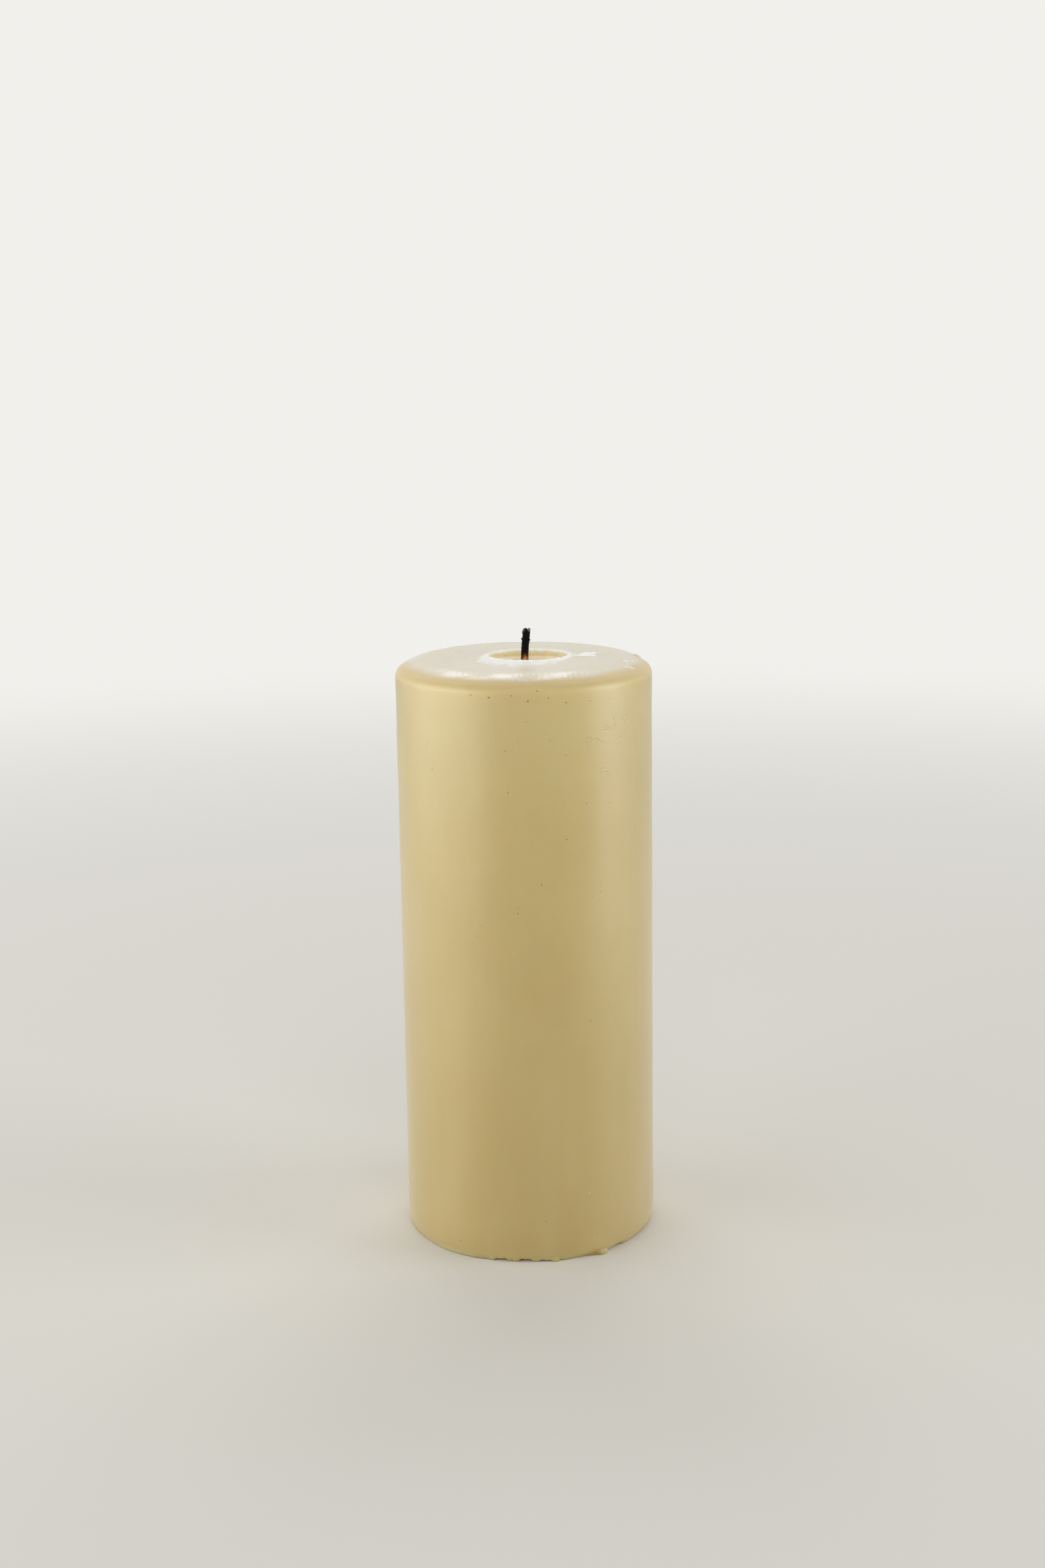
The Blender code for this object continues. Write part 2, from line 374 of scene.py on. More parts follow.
# Scuffs on the wall at the right, each an outline of angles in degrees and heights in millimetres:
# creases pressed in by a fingernail, with a burr along one side.
scuffs = (
    ((40.9, 128.4), (41.9, 127.6), (42.6, 126.9), (43.0, 125.8), (43.4, 125.2), (42.2, 124.4)),
    ((42.5, 127.4), (43.5, 127.8), (44.3, 128.2), (45.6, 129.2)),
    ((35.8, 124.6), (37.2, 124.8), (38.7, 125.0), (40.6, 124.5)),
    ((35.8, 125.0), (37.6, 125.4), (39.5, 125.3), (41.4, 124.9)),
    ((35.8, 125.6), (37.2, 125.9), (38.7, 125.9)),
    ((47.8, 127.0), (48.2, 127.5), (49.6, 127.6), (51.5, 127.2), (52.0, 126.5), (51.0, 126.0),
     (49.1, 126.3), (48.0, 126.7)),
    ((26.2, 123.1), (27.5, 123.6), (28.9, 123.8), (29.9, 123.5), (30.2, 122.8), (29.2, 122.6)),
    ((30.8, 122.7), (31.2, 123.2), (32.6, 123.3), (33.9, 122.9), (35.4, 122.5), (37.2, 122.3)),
    ((42.6, 121.4), (43.4, 122.1), (44.6, 122.6), (46.8, 122.9)),
    ((43.8, 120.9), (45.1, 121.3), (46.8, 121.6)),
    ((34.2, 114.5), (34.2, 115.3), (34.9, 116.0), (36.3, 116.4), (37.8, 116.1)),
    ((36.0, 115.2), (37.8, 115.5), (39.3, 114.8), (38.5, 114.1)))
scuff_depth = 0.055 * MM
scuff_width = 0.12 * MM
scuff_burr = 0.04 * MM
# Pitted patches round the scuffs: angle, height and reach in millimetres.
pitted = ((28.0, 123.2, 2.2), (33.5, 122.8, 2.2), (38.2, 125.2, 2.4), (49.8, 126.8, 2.0),
          (36.8, 115.2, 2.3), (43.2, 128.6, 2.0))
pit_depth = 0.07 * MM


def smooth_path(outline, step=0.1 * MM):
    """Points close together on a smooth curve through an outline of places on the unrolled wall."""
    ends = np.array([(math.radians(angle) * body_radius, height * MM) for angle, height in outline])
    ends = np.vstack([2 * ends[0] - ends[1], ends, 2 * ends[-1] - ends[-2]])
    path = []
    for before, start, end, after in zip(ends, ends[1:], ends[2:], ends[3:]):
        for share in np.arange(0, 1, step / max(np.linalg.norm(end - start), step)):
            path.append(0.5 * (2 * start + (end - before) * share
                               + (2 * before - 5 * start + 4 * end - after) * share ** 2
                               + (3 * start - before - 3 * end + after) * share ** 3))
    return np.array(path + [ends[-2]])


def scuff_at(angle, height):
    """How far the wall is pushed out at places on it, and how much shade is painted into the creases and pits
    there.
    """
    places = np.column_stack([angle * body_radius, height])
    push, recess_shade = np.zeros(len(angle)), np.zeros(len(angle))
    for outline in scuffs:
        path = smooth_path(outline)
        along = np.gradient(path, axis=0)
        along /= np.linalg.norm(along, axis=1, keepdims=True)
        apart = places[:, None, :] - path[None, :, :]
        nearest = np.linalg.norm(apart, axis=2).argmin(axis=1)
        apart = apart[np.arange(len(places)), nearest]
        off = np.linalg.norm(apart, axis=1)
        side = np.sign(along[nearest, 0] * apart[:, 1] - along[nearest, 1] * apart[:, 0])
        broken = np.clip(0.8 + 0.7 * waves(path, 0.5 * MM, len(path)), 0.15, 1.3)[nearest]
        taper = np.sqrt(np.sin(math.pi * np.clip(nearest / len(path), 0.04, 0.96))) * broken
        crease = np.exp(-(off / scuff_width) ** 2) * taper
        burr = scuff_burr * taper * np.exp(-((off * side - 2 * scuff_width) / scuff_width) ** 2)
        push += burr - scuff_depth * crease
        recess_shade = np.maximum(recess_shade, crease)
    for centre, level, reach in pitted:
        off = np.hypot(places[:, 0] - math.radians(centre) * body_radius, height - level * MM)
        inside = smoothstep(1 - off / (reach * MM))
        pits = np.clip(waves(places, 0.35 * MM, int(centre)) - 0.15, 0, 1) * inside
        push -= pit_depth * pits
        recess_shade = np.maximum(recess_shade, 0.5 * pits)
    return push, recess_shade


# The faces of the scuffed part of the wall are divided, so that they can hold the creases.
cut = bmesh.new()
cut.from_mesh(wax_mesh)
edges = []
for edge in cut.edges:
    places = [vertex.co for vertex in edge.verts]
    angles = [math.degrees(math.atan2(place.x, -place.y)) for place in places]
    if all(scuffed_angles[0] <= angle <= scuffed_angles[1] for angle in angles) \
            and all(scuffed_heights[0] - MM / 9 < place.z < scuffed_heights[1] + MM / 9 for place in places):
        edges.append(edge)
bmesh.ops.subdivide_edges(cut, edges=edges, cuts=scuffed_cuts, use_grid_fill=True)
cut.to_mesh(wax_mesh)
cut.free()

# Wax thrown out on the top: x, y, half length and half width in millimetres, turn in degrees, height.
splash = ((13.3, 0.2, 1.0, 0.35, 20, 0.1), (14.9, 0.9, 1.8, 1.5, 15, 0.27), (16.3, 1.6, 1.5, 1.1, 10, 0.22),
          (13.9, -1.6, 1.7, 1.4, -15, 0.25), (15.3, -0.8, 1.4, 1.0, 35, 0.2), (15.8, -2.4, 1.4, 1.1, 5, 0.22),
          (12.3, -0.5, 0.7, 0.35, 40, 0.1), (11.9, 1.2, 0.8, 0.35, 25, 0.12), (17.0, 2.2, 0.8, 0.4, 15, 0.12),
          (12.6, -2.8, 0.9, 0.5, -30, 0.12))
flecks = ((23.5, -8.4, 1.0, 0.4, 30, 0.12), (24.1, -12.6, 1.1, 0.5, 20, 0.13),
          (23.9, -10.4, 0.4, 0.5, 0, 0.08), (25.2, -6.2, 0.4, 0.8, 0, 0.06))


def patches_at(places, patches, seed):
    """Height of patches of thrown wax at places on the top, each a lumpy low mound."""
    ragged = waves(places, 0.8 * MM, seed)
    total = np.zeros(len(places))
    for x, y, length, width, turn, height in patches:
        apart = places - np.array((x, y)) * MM
        turn = math.radians(turn)
        along = (apart[:, 0] * math.cos(turn) + apart[:, 1] * math.sin(turn)) / (length * MM)
        across = (apart[:, 1] * math.cos(turn) - apart[:, 0] * math.sin(turn)) / (width * MM)
        mound = smoothstep(1.25 * (1 - np.hypot(along, across) + 0.3 * ragged))
        total = np.maximum(total, height * MM * mound * (1 + 0.15 * ragged))
    return total


# Where each point of the wax lies: round the candle, up it, and out from its axis and its crater.
points = np.zeros(len(wax_mesh.vertices) * 3)
wax_mesh.vertices.foreach_get("co", points)
points = points.reshape(-1, 3)
angle, height = np.arctan2(points[:, 0], -points[:, 1]), points[:, 2].copy()
degrees = np.degrees(angle)
flat = points[:, :2].copy()
far = np.linalg.norm(flat, axis=1)
from_crater = np.linalg.norm(flat - np.array(crater_centre), axis=1)
beyond = from_crater - crater_radius
around = np.arctan2(flat[:, 0] - crater_centre.x, crater_centre.y - flat[:, 1])

# The scuffs are pressed into the wall.
wall = (far > 0.9 * body_radius) & (height > scuffed_heights[0]) & (height < scuffed_heights[1]) \
    & (degrees > scuffed_angles[0]) & (degrees < scuffed_angles[1])
push, recess_shade = np.zeros(len(points)), np.zeros(len(points))
push[wall], recess_shade[wall] = scuff_at(angle[wall], height[wall])
points[wall, :2] *= ((body_radius - wear + push[wall]) / far[wall])[:, None]

# The top is a little rough, and carries the splash.
top = (height > crease_height + 0.3 * MM) & (from_crater > crater_radius + 0.2 * MM)
outside_lip = smoothstep((beyond - lip_width) / (1.5 * MM)) * top
points[:, 2] += outside_lip * 0.035 * MM * waves(flat, 2.2 * MM, 51)
points[:, 2] += outside_lip * 0.012 * MM * waves(flat, 0.5 * MM, 52)
thrown = patches_at(flat, splash + flecks, 53) * top
points[:, 2] += thrown
wax_mesh.vertices.foreach_set("co", points.reshape(-1))

# Where each finish, painted light or painted shade lies, as a mark from 0 to 1 on the points.
wobble = 0.3 * MM * waves(flat, 7.0 * MM, 54)
edge, width = lip_shape(around)[:2]
frayed = 1 + 0.25 * waves(np.column_stack([around * 6 * MM, from_crater / 3]), 0.7 * MM, 55)
frost_reach = (4.2 * MM * near_angle(around, -16, 85) + 0.5 * MM) * frayed
frosted = smoothstep(1.55 - (beyond - width) / np.maximum(frost_reach, 0.1 * MM)) * top
crust = smoothstep((width + 0.35 * MM - beyond) / (0.45 * MM)) \
    * smoothstep((beyond - edge + 0.2 * MM) / (0.15 * MM)) * (height > top_height - 0.6 * MM)
white_to = top_height - (0.1 + 0.3 * (0.5 - 0.5 * np.cos(around))) * MM
inside = (from_crater < crater_radius + edge + 0.02 * MM) & (height > wax_high.z * 0.9)
crust = np.maximum(crust, inside & (height > white_to))
crust = np.maximum(crust, 0.5 * inside * smoothstep((height - pool_height - 0.3 * MM) / (1.2 * MM)))
streaks = waves(np.column_stack([angle * 9 * MM, far]), 1.6 * MM, 57) + 0.9 * waves(flat, 0.5 * MM, 58)
smear = np.hypot((flat[:, 0] - 0.6 * MM) / (3 * MM), (flat[:, 1] + 21.5 * MM) / (6 * MM))
smear = smoothstep(1 - smear) * top
# Painted shade in cracks beside the lip at the right and in the notch at its left.
cracks = near_angle(around, 90, 9) * near(from_crater, 10.6 * MM, 1.5 * MM) \
    * smoothstep(waves(flat, 0.35 * MM, 56) * 2) * top
notch = near_angle(around, -75, 5.5) * near(from_crater, 9.8 * MM, 0.9 * MM) * top
marks = {
    # Painted shade on the band below the shoulder's edge. The same mark takes the coat off the foot and gives
    # the foot the band's colour.
    "shoulder": smoothstep((height - crease_height + 1.9 * MM) / (1.6 * MM))
    + smoothstep(1.4 - height / (2 * MM)) * (height < 5 * MM),
    # A paler top, partly its frosted satin finish and partly painted sheen.
    "satin": smoothstep((28.3 * MM + wobble - far) / (2.2 * MM)) * top,
    "bloom": near_angle(around, -5, 80) * smoothstep(1.2 - beyond / (15 * MM)) * top,
    "glint": near(far, 26.2 * MM, 2.2 * MM) * top * smoothstep(0.6 + 0.45 * streaks)
    * smoothstep((degrees + 62) / 30) * smoothstep((40 - degrees) / 20) * (1 - 0.8 * smear),
    "crust": np.maximum(crust, 0.85 * frosted),
    "pool": inside & (height <= white_to),
    "thrown": smoothstep(thrown / (0.025 * MM)),
    # Painted shade in the scuffs' creases and pits, in the cracks and in the notch.
    "recess_shade": np.maximum(recess_shade, np.clip(cracks + notch, 0, 1)),
    "smear": smear,
    # Olive at the foot's spread edge at the front right.
    "olive_foot": near_angle(angle, 30, 8) * smoothstep(1.5 - height / (1.5 * MM)) * (far > 0.9 * body_radius),
}
for name, amount in marks.items():
    wax_mesh.attributes.new(name, 'FLOAT', 'POINT').data.foreach_set("value", amount.astype(float))
wax_mesh.update()
wax_mesh.shade_smooth()

# Cast paraffin: milky ivory that lets light in a few millimetres, polished satin by the mould. It is
# chalky white where it was thrown or has crusted, and glossy where it melted and set again.
ivory_wax, add, shader, place = new_material("cast_ivory_paraffin")
cloud, mottle, grain, peel = [
    add('ShaderNodeTexNoise', {"Vector": place, "Scale": 1 / (size * MM), "Detail": detail})
    for size, detail in ((26, 3.0), (1.8, 5.0), (0.4, 3.0), (1.3, 4.0))]
cloud = add('ShaderNodeMapRange', {"Value": cloud, "From Min": 0.35, "From Max": 0.65})
height = add('ShaderNodeSeparateXYZ', {"Vector": place}, out="Z")
# Darker towards the foot, which is painted shade from a dark floor, and paler towards the top, which is
# painted light from above.
low = add('ShaderNodeMapRange', {"Value": height, "From Min": wax_high.z, "From Max": 0.0})
lit_from, lit_to = wax_high.z - 34 * MM, wax_high.z - 4 * MM
lit = add('ShaderNodeMapRange', {"Value": height, "From Min": lit_from, "From Max": lit_to, "To Max": 0.22})
drawn = add('ShaderNodeMapping', {"Vector": place, "Scale": (1.0, 1.0, 0.22)})
bands = add('ShaderNodeTexNoise', {"Vector": drawn, "Scale": 1 / (8 * MM), "Detail": 3.0})
bands = add('ShaderNodeMapRange', {"Value": bands, "From Min": 0.4, "From Max": 0.7, "To Max": 0.13})
colour = linear("#CFB76C")
for share, paint in ((cloud, "#D6C077"), (low, "#C2A95F"), (lit, "#E6D9A4"), (bands, "#DDCD96")):
    colour = add('ShaderNodeMix', {"Factor": share, "A": colour, "B": linear(paint)}, data_type='RGBA')
rough = add('ShaderNodeMapRange', {"Value": mottle, "To Min": 0.35, "To Max": 0.43})
# Each finish, painted light or painted shade over the bare wax: its mark, colour, strength and roughness. The
# glint is a painted highlight.
finishes_and_painted_light = (("shoulder", "#CCB77F", 0.65, 0.56), ("satin", "#DAD3C1", 0.85, 0.48),
            ("bloom", "#F2EEE3", 0.4, 0.46), ("smear", "#CBB684", 0.75, 0.5),
            ("glint", "#FAF7F0", 0.85, 0.34), ("crust", "#FEFDFA", 1.0, 0.34),
            ("pool", "#EBDBAA", 1.0, 0.34), ("thrown", "#FCFBF6", 1.0, 0.3),
            ("olive_foot", "#A98C22", 0.85, 0.6), ("recess_shade", "#8F7D55", 0.25, 0.5))
mark = {}
for name, paint, strength, roughness in finishes_and_painted_light:
    mark[name] = add('ShaderNodeAttribute', out="Fac", attribute_name=name)
    least = strength * 0.68
    broken = add('ShaderNodeMapRange',
                 {"Value": mottle, "From Min": 0.3, "From Max": 0.55, "To Min": least, "To Max": strength})
    share = add('ShaderNodeMath', {0: mark[name], 1: broken}, operation='MULTIPLY')
    colour = add('ShaderNodeMix', {"Factor": share, "A": colour, "B": linear(paint)}, data_type='RGBA')
    rough = add('ShaderNodeMix', {"Factor": share, "A": rough, "B": roughness}, data_type='FLOAT')
bump = add('ShaderNodeBump', {"Strength": 0.25, "Distance": 0.02 * MM, "Height": grain})
bump = add('ShaderNodeBump',
           {"Strength": mark["satin"], "Distance": 0.2 * MM, "Height": peel, "Normal": bump})
polished = add('ShaderNodeMapRange', {"Value": mark["shoulder"], "To Min": 1.0, "To Max": 0.0})
feed(shader, {"Base Color": colour, "Roughness": rough, "Normal": bump, "IOR": 1.44,
              "Specular IOR Level": 1.0, "Coat Weight": polished, "Coat Roughness": 0.42, "Coat IOR": 1.6,
              "Subsurface Weight": 0.85, "Subsurface Radius": (1.0, 0.65, 0.35), "Subsurface Scale": 7 * MM})
# The bloom of fine crystals on old paraffin, which whitens it where it is seen edge on.
feed(shader, {"Sheen Weight": 0.25, "Sheen Roughness": 0.5})

wax_mesh.materials.append(ivory_wax)
wax = new_object("wax_pillar", wax_mesh)
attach(wax, "root")
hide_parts("wax_body")


# Crumbs: bits of wax that the flame spat out, chalky because they set at once. They cling to the lip of
# the crater, beside the splash and on the wall. The same node tree makes every other loose grain.

skin = BVHTree.FromPolygons([vertex.co for vertex in wax_mesh.vertices],
                            [tuple(face.vertices) for face in wax_mesh.polygons])


def on_wall(angle, height):
    """The place on the wax, and the way it faces, at an angle in degrees and a height in millimetres."""
    turn = math.radians(angle)
    outwards = Vector((math.sin(turn), -math.cos(turn), 0.0))
    start = outwards * 2 * body_radius + Vector((0.0, 0.0, height * MM))
    return skin.ray_cast(start, -outwards)[:2]


def on_top(x, y):
    """The place on the wax, and the way it faces, straight below a point in millimetres."""
    return skin.ray_cast(Vector((x * MM, y * MM, 2 * wax_high.z)), Vector((0.0, 0.0, -1.0)))[:2]


def start_tree(name, inputs):
    """A geometry node tree with named inputs of the kinds given, the way to add to it, and the inputs."""
    tree = bpy.data.node_groups.new(name, 'GeometryNodeTree')
    tree.interface.new_socket("Geometry", in_out='OUTPUT', socket_type='NodeSocketGeometry')
    for label, kind in {"Geometry": 'Geometry', **inputs, "Material": 'Material'}.items():
        tree.interface.new_socket(label, in_out='INPUT', socket_type='NodeSocket' + kind)
    return tree, partial(add_node, tree), tree.nodes.new('NodeGroupInput').outputs


def end_tree(add, geometry, given):
    """The way out of a tree: real geometry for every instance, smooth shading, and the material."""
    geometry = add('GeometryNodeRealizeInstances', {"Geometry": geometry})
    geometry = add('GeometryNodeSetShadeSmooth', {"Geometry": geometry, "Shade Smooth": True})
    geometry = add('GeometryNodeSetMaterial', {"Geometry": geometry, "Material": given["Material"]})
    add('NodeGroupOutput', {"Geometry": geometry})


def roughen(add, geometry, size, detail, reach):
    """Moves the points of a geometry about by a noise of one size, as far as the reach."""
    noise = {"Vector": add('GeometryNodeInputPosition'), "Scale": 1 / size, "Detail": detail}
    shift = add('ShaderNodeTexNoise', noise, out="Color")
    shift = add('ShaderNodeVectorMath', {0: shift, 1: (0.5, 0.5, 0.5)}, operation='SUBTRACT')
    shift = add('ShaderNodeVectorMath', {0: shift, "Scale": reach}, operation='SCALE')
    return add('GeometryNodeSetPosition', {"Geometry": geometry, "Offset": shift})


def grow(tree, mesh, material, values):
    """Runs a tree on a mesh and gives back an object that holds the result as a plain mesh."""
    made = new_object(mesh.name, mesh)
    modifier = made.modifiers.new(mesh.name, 'NODES')
    modifier.node_group = tree
    values = {**values, "Material": material}
    for socket in tree.interface.items_tree:
        if socket.name in values:
            modifier[socket.identifier] = values[socket.name]
    depsgraph = bpy.context.evaluated_depsgraph_get()
    made.data = bpy.data.meshes.new_from_object(made.evaluated_get(depsgraph), preserve_all_data_layers=True,
                                                depsgraph=depsgraph)
    made.modifiers.clear()
    return made


def grain_points(name, seats, sizes):
    """A mesh of loose points on the wax, each with the way it faces and its size in millimetres."""
    mesh = bpy.data.meshes.new(name)
    mesh.from_pydata([place for place, facing in seats], [], [])
    mesh.attributes.new("facing", 'FLOAT_VECTOR', 'POINT').data.foreach_set(
        "vector", [part for place, facing in seats for part in facing])
    mesh.attributes.new("size", 'FLOAT', 'POINT').data.foreach_set("value", [size * MM for size in sizes])
    return mesh


def cloudy_finish(name, patch, detail, paints, roughness, ior=1.5, grain=None):
    """A material that drifts between two colours and two roughnesses, with a fine grain or without."""
    material, add, shader, place = new_material(name)
    cloud = add('ShaderNodeTexNoise', {"Vector": place, "Scale": 1 / patch, "Detail": detail})
    colour = add('ShaderNodeMix', {"Factor": cloud, "A": linear(paints[0]), "B": linear(paints[1])},
                 data_type='RGBA')
    rough = add('ShaderNodeMapRange', {"Value": cloud, "To Min": roughness[0], "To Max": roughness[1]})
    feed(shader, {"Base Color": colour, "Roughness": rough, "IOR": ior})
    if grain:
        fine = add('ShaderNodeTexNoise', {"Vector": place, "Scale": 1 / grain, "Detail": 2.0})
        bump = add('ShaderNodeBump', {"Strength": 0.4, "Distance": 0.02 * MM, "Height": fine})
        feed(shader, {"Normal": bump})
    return material


# A lumpy grain on each point of a mesh, of the point's own size, turned the way the point faces.
grain_tree, add, given = start_tree("grains", {"Thickness": 'Float', "Lumpiness": 'Float', "Seed": 'Int'})
size = add('GeometryNodeInputNamedAttribute', {"Name": "size"}, data_type='FLOAT')
facing = add('GeometryNodeInputNamedAttribute', {"Name": "facing"}, data_type='FLOAT_VECTOR')
points = add('GeometryNodeMeshToPoints', {"Mesh": given["Geometry"]})
turn = add('FunctionNodeAlignRotationToVector', {"Vector": facing}, axis='Z')
spin = add('FunctionNodeRandomValue',
           {"Min": (-0.2, -0.2, 0.0), "Max": (0.2, 0.2, 2 * math.pi), "Seed": given["Seed"]},
           data_type='FLOAT_VECTOR')
spin = add('FunctionNodeEulerToRotation', {"Euler": spin})
turn = add('FunctionNodeRotateRotation', {"Rotation": turn, "Rotate By": spin}, rotation_space='LOCAL')
shape = add('FunctionNodeRandomValue',
            {"Min": (0.8, 0.55, 0.8), "Max": (1.5, 1.0, 1.2), "Seed": given["Seed"]},
            data_type='FLOAT_VECTOR')
flat = add('ShaderNodeCombineXYZ', {"X": 1.0, "Y": 1.0, "Z": given["Thickness"]})
shape = add('ShaderNodeVectorMath', {0: shape, 1: flat}, operation='MULTIPLY')
shape = add('ShaderNodeVectorMath', {0: shape, "Scale": size}, operation='SCALE')
grain = add('GeometryNodeMeshIcoSphere', {"Radius": 1.0, "Subdivisions": 2})
grains = add('GeometryNodeInstanceOnPoints',
             {"Points": points, "Instance": grain, "Rotation": turn, "Scale": shape})
grains = add('GeometryNodeRealizeInstances', {"Geometry": grains})
lumps = add('ShaderNodeMath', {0: size, 1: given["Lumpiness"]}, operation='MULTIPLY')
end_tree(add, roughen(add, grains, 0.3 * MM, 1.0, lumps), given)

crumb_seats, crumb_sizes = [], []
crumb_rng = np.random.default_rng(61)
lip_crumbs, patch_crumbs = 170, 6
for number in range(lip_crumbs):
    around = crumb_rng.vonmises(0.1, 1.5)
    crest = crater_radius + (0.1 + crumb_rng.gamma(1.2, 0.5) * (0.6 + 0.6 * math.cos(around))) * MM
    spot = crater_centre + Vector((math.sin(around), -math.cos(around))) * crest
    crumb_seats.append(on_top(spot.x / MM, spot.y / MM))
    crumb_sizes.append(crumb_rng.uniform(0.03, 0.09))
for x, y, length, width, turn, height in splash + flecks:
    for number in range(patch_crumbs):
        along, across = crumb_rng.normal(0, 0.55 * length), crumb_rng.normal(0, 0.7 * width)
        slant = math.radians(turn)
        crumb_seats.append(on_top(x + along * math.cos(slant) - across * math.sin(slant),
                                  y + along * math.sin(slant) + across * math.cos(slant)))
        crumb_sizes.append(crumb_rng.uniform(0.05, 0.13))
# The chip that stands up on the shoulder at the right, and single crumbs: x, y and size.
top_crumbs = ((26.5, 3.3, 0.5), (26.8, 4.4, 0.75), (26.7, 5.6, 0.5), (26.3, 7.0, 0.35),
              (20.4, -3.9, 0.12), (8.2, -14.6, 0.1), (-6.1, -16.2, 0.1), (18.3, -13.1, 0.1))
# Crumbs stuck to the wall: angle, height and size.
wall_crumbs = ((86, 91.4, 0.22), (87, 108.5, 0.18), (87.5, 113.2, 0.2), (-58.9, 58.4, 0.12),
               (27.2, 15.8, 0.13), (-84.3, 49.3, 0.2), (-87, 12.0, 0.2), (-88, 8.6, 0.24),
               (-86, 6.4, 0.2), (-84, 2.2, 0.2), (29.5, 4.4, 0.16))
crumb_seats += [on_top(x, y) for x, y, size in top_crumbs]
crumb_seats += [on_wall(angle, height) for angle, height, size in wall_crumbs]
crumb_sizes += [size for *spot, size in top_crumbs + wall_crumbs]

# Spat paraffin: full of air, so it is dull, nearly white and lets no light through.
chalky_wax = cloudy_finish("chalky_spat_paraffin", 0.5 * MM, 3.0, ("#EFEBDD", "#FAF9F3"), (0.45, 0.65),
                           ior=1.44, grain=0.12 * MM)
crumbs = grow(grain_tree, grain_points("wax_crumbs", crumb_seats, crumb_sizes), chalky_wax,
              {"Thickness": 0.6, "Lumpiness": 1.3, "Seed": 7})
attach(crumbs, "root")


# Burrs and scratches on the wall: a pale hairline where a seam of wax was dragged up, and dark ones along
# scratches. Each is a thin ridge along a path, fine at both ends.

pale_burrs = (((-14.8, 131.9), (-14.4, 130.1), (-13.8, 127.1), (-13.1, 124.4), (-12.7, 121.1), (-12.2, 116.5),
               (-11.9, 114.0)),
              ((-4.3, 126.9), (-3.9, 124.1), (-3.2, 119.6)),
              ((-7.6, 75.7), (-6.4, 75.2), (-5.3, 74.0)))
dark_scratches = (((-46.5, 123.6), (-47.1, 121.9), (-47.9, 120.3), (-48.2, 119.2)),
                   ((49.2, 70.4), (51.1, 70.8)))

# A thin round ridge along each line of a mesh, smooth between its points and fine at its ends.
ridge_tree, add, given = start_tree("ridges", {"Thickness": 'Float', "Step": 'Float', "Waviness": 'Float'})
paths = add('GeometryNodeMeshToCurve', {"Mesh": given["Geometry"]})
paths = add('GeometryNodeCurveSplineType', {"Curve": paths}, spline_type='CATMULL_ROM')
paths = add('GeometryNodeResampleCurve', {"Curve": paths, "Length": given["Step"]}, mode='LENGTH')
taper = add('GeometryNodeSplineParameter')
for operation, amount in (('MULTIPLY', math.pi), ('SINE', 0.0), ('POWER', 0.5), ('MAXIMUM', 0.15)):
    taper = add('ShaderNodeMath', {0: taper, 1: amount}, operation=operation)
place = add('GeometryNodeInputPosition')
uneven = add('ShaderNodeTexNoise', {"Vector": place, "Scale": 1 / (0.8 * MM)})
uneven = add('ShaderNodeMapRange',
             {"Value": uneven, "From Min": 0.3, "From Max": 0.7, "To Min": 0.5, "To Max": 1.3})
taper = add('ShaderNodeMath', {0: taper, 1: uneven}, operation='MULTIPLY')
paths = roughen(add, paths, 2.5 * MM, 2.0, given["Waviness"])
ring = add('GeometryNodeCurvePrimitiveCircle', {"Resolution": 6, "Radius": given["Thickness"]})
ridges = add('GeometryNodeCurveToMesh',
             {"Curve": paths, "Profile Curve": ring, "Scale": taper, "Fill Caps": True})
end_tree(add, ridges, given)


def wall_lines(name, outlines, sunk):
    """A mesh of lines a little under the wall's skin, through outlines of angles and heights."""
    places, edges = [], []
    for outline in outlines:
        for number, (angle, height) in enumerate(outline):
            if number:
                edges.append((len(places) - 1, len(places)))
            place, facing = on_wall(angle, height)
            places.append(place - facing * sunk)
    mesh = bpy.data.meshes.new(name)
    mesh.from_pydata(places, edges, [])
    return mesh


# The wall's own paraffin, paler where it is dragged up and browner along the dark scratches.
dragged_wax = cloudy_finish("dragged_paraffin", 0.7 * MM, 2.0, ("#DCCA92", "#E4D6A8"), (0.32, 0.48), ior=1.44)
dark_scratch_wax = cloudy_finish("dark_scratch_paraffin", 0.7 * MM, 2.0, ("#DCCA92", "#9C8856"), (0.47, 0.63), ior=1.44)
burrs = grow(ridge_tree, wall_lines("pale_burrs", pale_burrs, 0.08 * MM), dragged_wax,
             {"Thickness": 0.12 * MM, "Step": 0.12 * MM, "Waviness": 0.12 * MM})
scratches = grow(ridge_tree, wall_lines("dark_scratches", dark_scratches, 0.02 * MM), dark_scratch_wax,
                 {"Thickness": 0.045 * MM, "Step": 0.12 * MM, "Waviness": 0.06 * MM})
for lines in (burrs, scratches):
    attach(lines, "root")


# Soot specks: grains of soot and dust cast into the wax or stuck on it, each under a millimetre long.
# Those in view of the photograph lie where it shows them, and the others are at random.

